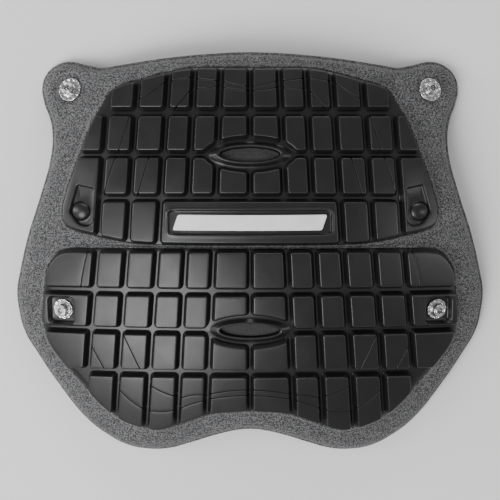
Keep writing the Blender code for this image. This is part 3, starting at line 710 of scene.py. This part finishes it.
# A turned surface: the place plus r cos t and r sin t along the dome's tangents and h along its normal,
# with h raised by a cosine of the petals.
def studPatch(name, side):
    x, y, foot = studs["places"][name]
    origin, tip = layOnDome(np.array([x * side] * 2), y, np.array([foot, foot + 1]))
    normal = (tip - origin) / np.linalg.norm(tip - origin)
    across = np.array([1, 0, 0]) - normal * normal[0]
    across /= np.linalg.norm(across)
    along = np.cross(normal, across)
    profile = np.array(studs["profile"])
    flange = profile[:, 0] > studs["flangeEnd"]
    radius = profile[:, 0] * np.where(flange, studs["flangeRadius"][name] / profile[0, 0], 1)
    angle = np.linspace(0, 2 * math.pi, studs["pointsRound"], endpoint=False)
    height = profile[:, 1:2] + profile[:, 2:] * studs["petalDepth"] * np.cos(studs["petals"] * angle)
    ring = np.cos(angle)[:, None] * across + np.sin(angle)[:, None] * along
    points = origin + (radius[:, None, None] * ring + height[..., None] * normal) * mm
    # Petal crests take the lighter edge colour: partly wear, partly a painted highlight.
    wearAndHighlight = np.where(profile[:, 2] > 0.5, 0.6, 0)
    return {"points": points, "wearAndHighlight": wearAndHighlight}


# A wire: a circle of six points carried along a path, whose height waves as cos(pi s / pitch).
def wirePatch(x, y, n):
    path = np.stack([x, y, n], axis=1)
    tangent = np.gradient(path, axis=0)
    tangent /= np.linalg.norm(tangent, axis=1)[:, None]
    side = np.cross(tangent, [0, 0, 1])
    side /= np.linalg.norm(side, axis=1)[:, None]
    up = np.cross(side, tangent)
    angle = np.arange(6) / 6 * 2 * math.pi
    ring = np.cos(angle)[None, :, None] * side[:, None] + np.sin(angle)[None, :, None] * up[:, None]
    points = path[:, None] + vents["wire"] * ring
    return {"points": layOnDome(points[..., 0], points[..., 1], points[..., 2])}


# A thin backing sheet and the wires over it, both cut to the hole's ellipse.
def weavePatches(plate):
    centreY = vents["places"][plate][1]
    a, b = (half - vents["weaveGap"] for half in vents["hole"])
    pitch, level, rise = vents["pitch"], vents["weaveLevel"], vents["weaveWave"]
    angle = np.linspace(0, 2 * math.pi, 64, endpoint=False)
    shares = np.array([1, 1, 0.97])
    rings = [[a * share * np.cos(angle), centreY + b * share * np.sin(angle), np.full(64, n)]
             for share, n in zip(shares, (0.3, 0.5, 0.55))]
    rings += shrinkRings(rings[-1], (0, centreY), (0.8, 0.6, 0.4, 0.2))
    patches = [ringPatch(rings, np.zeros(len(rings)))]
    for number in range(-int(b / pitch), int(b / pitch) + 1):
        y = number * pitch
        half = a * math.sqrt(1 - (y / b) ** 2)
        x = np.linspace(-half, half, max(4, int(half * 5)))
        wave = np.cos(math.pi * x / pitch) * (-1) ** number
        patches.append(wirePatch(x, np.full_like(x, centreY + y), level + rise * wave))
    for number in range(-int(a / pitch), int(a / pitch) + 1):
        x = number * pitch
        half = b * math.sqrt(1 - (x / a) ** 2)
        y = np.linspace(-half, half, max(4, int(half * 5)))
        wave = -np.cos(math.pi * y / pitch) * (-1) ** number
        patches.append(wirePatch(np.full_like(y, x), centreY + y, level + rise * wave))
    return patches


inlay = {
    "size": (89.8, 9.4),
    "corner": 1.2,
    "slant": 0.34,  # how far the ends lean for each unit of height
    "foot": 5.2,
    "top": 6.5,
}


def inlayPatch():
    field = boxField(panel["centre"], inlay["size"], inlay["corner"], inlay["slant"])
    angles = spreadAngles(field, panel["centre"], 200)
    foot, top = inlay["foot"], inlay["top"]
    rows = [(-0.15, foot, 0), (0, foot + 0.15, 0), (0, top - 0.35, 0), (-0.1, top - 0.12, 0),
            (-0.32, top, 0), (-0.7, top + 0.02, 0)]
    rings = cellRings(field, panel["centre"], angles, rows)
    rings += shrinkRings(rings[-1], panel["centre"], np.linspace(0.9, 0.1, 9))
    return ringPatch(rings, np.zeros(len(rings)))


# Materials
def makeGroup(name, inputs, outputs):
    group = bpy.data.node_groups.new(name, "ShaderNodeTree")
    for label, value in inputs.items():
        socket = group.interface.new_socket(name=label, in_out="INPUT", socket_type="NodeSocketFloat")
        socket.default_value = value
    for label in outputs:
        group.interface.new_socket(name=label, in_out="OUTPUT", socket_type="NodeSocketFloat")
    return group, group.nodes.new("NodeGroupInput"), group.nodes.new("NodeGroupOutput")


def addNode(tree, kind, **values):
    node = tree.nodes.new(kind)
    for label, value in values.items():
        setattr(node, label, value)
    return node


def mapRange(tree, source, low, high, newLow, newHigh):
    node = addNode(tree, "ShaderNodeMapRange")
    tree.links.new(source, node.inputs["Value"])
    for label, value in (("From Min", low), ("From Max", high), ("To Min", newLow), ("To Max", newHigh)):
        node.inputs[label].default_value = value
    return node.outputs["Result"]


# Noise in object space, stretched to a mask: the share of the way from one noise value to another.
def noiseMaskGroup(name, low, high, detail):
    group, entry, leave = makeGroup(name, {"Scale": 100.0}, ["Mask"])
    coordinates = addNode(group, "ShaderNodeTexCoord")
    noise = addNode(group, "ShaderNodeTexNoise")
    noise.inputs["Detail"].default_value = detail
    group.links.new(coordinates.outputs["Object"], noise.inputs["Vector"])
    group.links.new(entry.outputs["Scale"], noise.inputs["Scale"])
    group.links.new(mapRange(group, noise.outputs["Fac"], low, high, 0, 1), leave.inputs["Mask"])
    return group


# Edge wear and painted rim highlight: the piece's per-point attribute, broken up by noise and scaled by the amount.
def edgeWearAndHighlightGroup():
    group, entry, leave = makeGroup("edgeWearAndHighlight", {"Amount": 0.5, "Scale": 300.0}, ["Mask"])
    attribute = addNode(group, "ShaderNodeAttribute", attribute_name="edgeWearAndHighlight")
    coordinates = addNode(group, "ShaderNodeTexCoord")
    noise = addNode(group, "ShaderNodeTexNoise")
    group.links.new(coordinates.outputs["Object"], noise.inputs["Vector"])
    group.links.new(entry.outputs["Scale"], noise.inputs["Scale"])
    broken = addNode(group, "ShaderNodeMath", operation="MULTIPLY")
    group.links.new(attribute.outputs["Fac"], broken.inputs[0])
    group.links.new(mapRange(group, noise.outputs["Fac"], 0.35, 0.6, 0.4, 1), broken.inputs[1])
    scaled = addNode(group, "ShaderNodeMath", operation="MULTIPLY")
    group.links.new(broken.outputs[0], scaled.inputs[0])
    group.links.new(entry.outputs["Amount"], scaled.inputs[1])
    group.links.new(scaled.outputs[0], leave.inputs["Mask"])
    return group


shared = {
    "grain": noiseMaskGroup("grain", 0.25, 0.75, 2.0),
    "smudge": noiseMaskGroup("smudge", 0.35, 0.65, 4.0),
    "speckle": noiseMaskGroup("speckle", 0.4, 0.62, 1.0),
    "edgeWearAndHighlight": edgeWearAndHighlightGroup(),
}


def placeGroup(tree, name, **values):
    node = addNode(tree, "ShaderNodeGroup", node_tree=shared[name])
    for label, value in values.items():
        node.inputs[label].default_value = value
    return node.outputs["Mask"]


# A colour mix: socket 0 is its factor, 6 and 7 are its colours, and output 2 is the result.
def colourMix(tree, mask, first, second):
    node = addNode(tree, "ShaderNodeMix", data_type="RGBA")
    tree.links.new(mask, node.inputs[0])
    for socket, colour in ((node.inputs[6], first), (node.inputs[7], second)):
        if isinstance(colour, tuple):
            socket.default_value = (*colour, 1)
        else:
            tree.links.new(colour, socket)
    return node.outputs[2]


def startMaterial(name, settings):
    material = bpy.data.materials.new(name)
    material.use_nodes = True
    shader = material.node_tree.nodes["Principled BSDF"]
    for label, value in settings.items():
        shader.inputs[label].default_value = value
    return material, material.node_tree, shader


def addBump(tree, shader, height, strength, distance):
    bump = addNode(tree, "ShaderNodeBump")
    bump.inputs["Strength"].default_value = strength
    bump.inputs["Distance"].default_value = distance
    tree.links.new(height, bump.inputs["Height"])
    tree.links.new(bump.outputs["Normal"], shader.inputs["Normal"])


foamLook = {"dark": (0.012, 0.012, 0.013), "light": (0.17, 0.17, 0.175), "speckle": 1150.0, "patches": 60.0}


def foamFabric():
    settings = {"Roughness": 0.9, "Sheen Weight": 0.12, "Sheen Roughness": 0.6}
    material, tree, shader = startMaterial("foamFabric", settings)
    speckle = placeGroup(tree, "speckle", Scale=foamLook["speckle"])
    patches = placeGroup(tree, "smudge", Scale=foamLook["patches"])
    base = colourMix(tree, speckle, foamLook["dark"], foamLook["light"])
    shaded = colourMix(tree, mapRange(tree, patches, 0, 1, 0, 0.25), base, (0.05, 0.05, 0.052))
    tree.links.new(shaded, shader.inputs["Base Color"])
    addBump(tree, shader, speckle, 0.5, 0.0003)
    return material


# The lighter edge colour of the black plastic is partly wear and partly a painted highlight along the bevels.
plasticLook = {"black": (0.009, 0.009, 0.0095), "wornAndHighlight": (0.03, 0.03, 0.032), "roughness": (0.30, 0.38)}


def blackPlastic():
    material, tree, shader = startMaterial("blackPlastic", {"IOR": 1.5})
    wearAndHighlight = placeGroup(tree, "edgeWearAndHighlight", Amount=0.6, Scale=400.0)
    smudge = placeGroup(tree, "smudge", Scale=70.0)
    tree.links.new(colourMix(tree, wearAndHighlight, plasticLook["black"], plasticLook["wornAndHighlight"]), shader.inputs["Base Color"])
    tree.links.new(mapRange(tree, smudge, 0, 1, *plasticLook["roughness"]), shader.inputs["Roughness"])
    addBump(tree, shader, placeGroup(tree, "grain", Scale=2600.0), 0.12, 0.00004)
    return material


def ventWeave():
    material, tree, shader = startMaterial("ventWeave", {"Roughness": 0.5})
    grain = placeGroup(tree, "grain", Scale=900.0)
    tree.links.new(colourMix(tree, grain, (0.02, 0.02, 0.02), (0.08, 0.08, 0.08)), shader.inputs["Base Color"])
    tree.links.new(mapRange(tree, grain, 0, 1, 0.4, 0.6), shader.inputs["Roughness"])
    return material


def whiteInlay():
    material, tree, shader = startMaterial("whiteInlay", {"Roughness": 0.45})
    smudge = placeGroup(tree, "smudge", Scale=90.0)
    tree.links.new(colourMix(tree, smudge, (0.78, 0.78, 0.78), (0.86, 0.86, 0.86)), shader.inputs["Base Color"])
    tree.links.new(mapRange(tree, smudge, 0, 1, 0.4, 0.52), shader.inputs["Roughness"])
    addBump(tree, shader, placeGroup(tree, "grain", Scale=1800.0), 0.1, 0.00005)
    return material


# Stud metal; its lighter colour on the petal crests is partly wear and partly a painted highlight.
def studMetal(name, colour, wornAndHighlight):
    material, tree, shader = startMaterial(name, {"Metallic": 1.0})
    smudge = placeGroup(tree, "smudge", Scale=250.0)
    wearAndHighlight = placeGroup(tree, "edgeWearAndHighlight", Amount=0.7, Scale=900.0)
    tree.links.new(colourMix(tree, wearAndHighlight, colour, wornAndHighlight), shader.inputs["Base Color"])
    tree.links.new(mapRange(tree, smudge, 0, 1, 0.14, 0.3), shader.inputs["Roughness"])
    addBump(tree, shader, placeGroup(tree, "grain", Scale=1500.0), 0.08, 0.00003)
    return material


materials = {
    "foam": foamFabric(),
    "plastic": blackPlastic(),
    "weave": ventWeave(),
    "white": whiteInlay(),
    "metal": studMetal("studMetal", (0.5, 0.5, 0.51), (0.75, 0.75, 0.76)),
}
print("stage: materials made")

foamPiece = addPiece("padFoam", [padPatch(), lipPatch("upper", "lower"), lipPatch("lower", "upper")],
                     materials["foam"], ["foam_pad"])
for plate in ("upper", "lower"):
    addPiece(f"{plate}Shell", platePatches(plate), materials["plastic"], [f"{plate}_plate"])
    addPiece(f"{plate}Weave", weavePatches(plate), materials["weave"], [f"vent_mesh_{plate}"])
    for side, hand in ((1, "right"), (-1, "left")):
        addPiece(f"{plate}Stud_{hand}", [studPatch(plate, side)], materials["metal"],
                 [f"snap_{plate}_{hand}"])
addPiece("panelStrip", [inlayPatch()], materials["white"], ["panel_inlay"])
print("stage: pieces made")

# Floor, camera and lights
studio = {
    "floorSize": 6.0,
    "floorColour": (0.86, 0.86, 0.86),
    "target": (0.0, 5.5, 28.0),
    "lean": 7.0,  # degrees from straight above, towards the neck
    "distance": 900.0,
    "focal": 1426.4,  # pixels of the 500 pixel frame
    "frame": 500,
    "world": 0.35,
    "lights": {  # place, size across and along, watts
        "key": ((-0.55, -0.55, 1.05), (0.8, 0.8), 16.0),
        "left": ((-1.3, 0.15, 0.45), (0.3, 1.2), 9.0),
        "top": ((0.1, 1.3, 0.6), (1.2, 0.3), 7.0),
        "right": ((1.2, -0.1, 0.8), (0.3, 0.9), 3.0),
    },
}


def buildStudio():
    scene = bpy.context.scene
    half = studio["floorSize"] / 2
    mesh = bpy.data.meshes.new("floor")
    mesh.from_pydata([(-half, -half, 0), (half, -half, 0), (half, half, 0), (-half, half, 0)], [], [(0, 1, 2, 3)])
    floor = bpy.data.objects.new("floor", mesh)
    scene.collection.objects.link(floor)
    material, _, _ = startMaterial("paleFloor", {"Base Color": (*studio["floorColour"], 1), "Roughness": 0.9})
    mesh.materials.append(material)

    world = bpy.data.worlds.new("studio")
    world.use_nodes = True
    world.node_tree.nodes["Background"].inputs["Color"].default_value = (1, 1, 1, 1)
    world.node_tree.nodes["Background"].inputs["Strength"].default_value = studio["world"]
    scene.world = world

    for name, (place, size, watts) in studio["lights"].items():
        light = bpy.data.lights.new(name, "AREA")
        light.shape = "RECTANGLE"
        light.size, light.size_y = size
        light.energy = watts
        holder = bpy.data.objects.new(name, light)
        holder.location = place
        holder.rotation_euler = (-Vector(place)).to_track_quat("-Z", "Y").to_euler()
        scene.collection.objects.link(holder)

    camera = bpy.data.objects.new("camera", bpy.data.cameras.new("camera"))
    camera.data.lens = camera.data.sensor_width * studio["focal"] / studio["frame"]
    lean = math.radians(studio["lean"])
    away = Vector((0, math.sin(lean), math.cos(lean))) * studio["distance"]
    camera.location = (Vector(studio["target"]) + away) * mm
    camera.rotation_euler = (-lean, 0, 0)
    scene.collection.objects.link(camera)
    scene.camera = camera


buildStudio()
print("stage: studio made")
